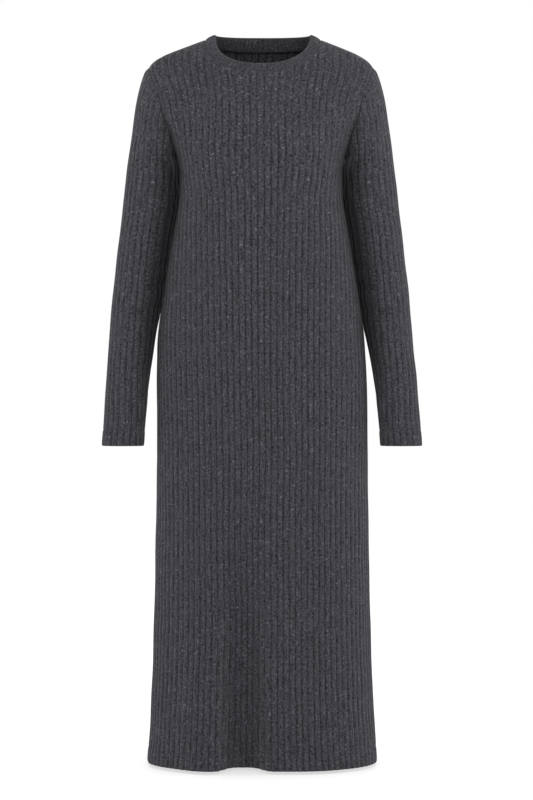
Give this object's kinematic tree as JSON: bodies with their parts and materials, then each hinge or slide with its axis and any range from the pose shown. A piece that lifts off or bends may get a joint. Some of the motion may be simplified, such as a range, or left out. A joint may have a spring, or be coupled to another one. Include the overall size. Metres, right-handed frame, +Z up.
{
  "type": "sweater dress",
  "caption": "Long-sleeved rib-knit midi dress with a crew neckband, straight body and slightly flared skirt, hollow as worn.",
  "frame": {"origin": "on the centre line, level with the two high shoulder points and above the side seams, where the wearer's shoulders carry the dress", "axes": "+Z up along the dress, +X to the wearer's left, the front towards -Y"},
  "size_m": [0.5288, 0.2376, 1.2131],
  "materials": {
    "rib_knit": "soft brushed heather knit",
    "neckband_knit": "soft brushed heather knit"
  },
  "bodies": {
    "root": {"front": "rib_knit", "back": "rib_knit", "sleeve_left": "rib_knit", "sleeve_right": "rib_knit", "neckband": "neckband_knit"}
  },
  "joints": []
}
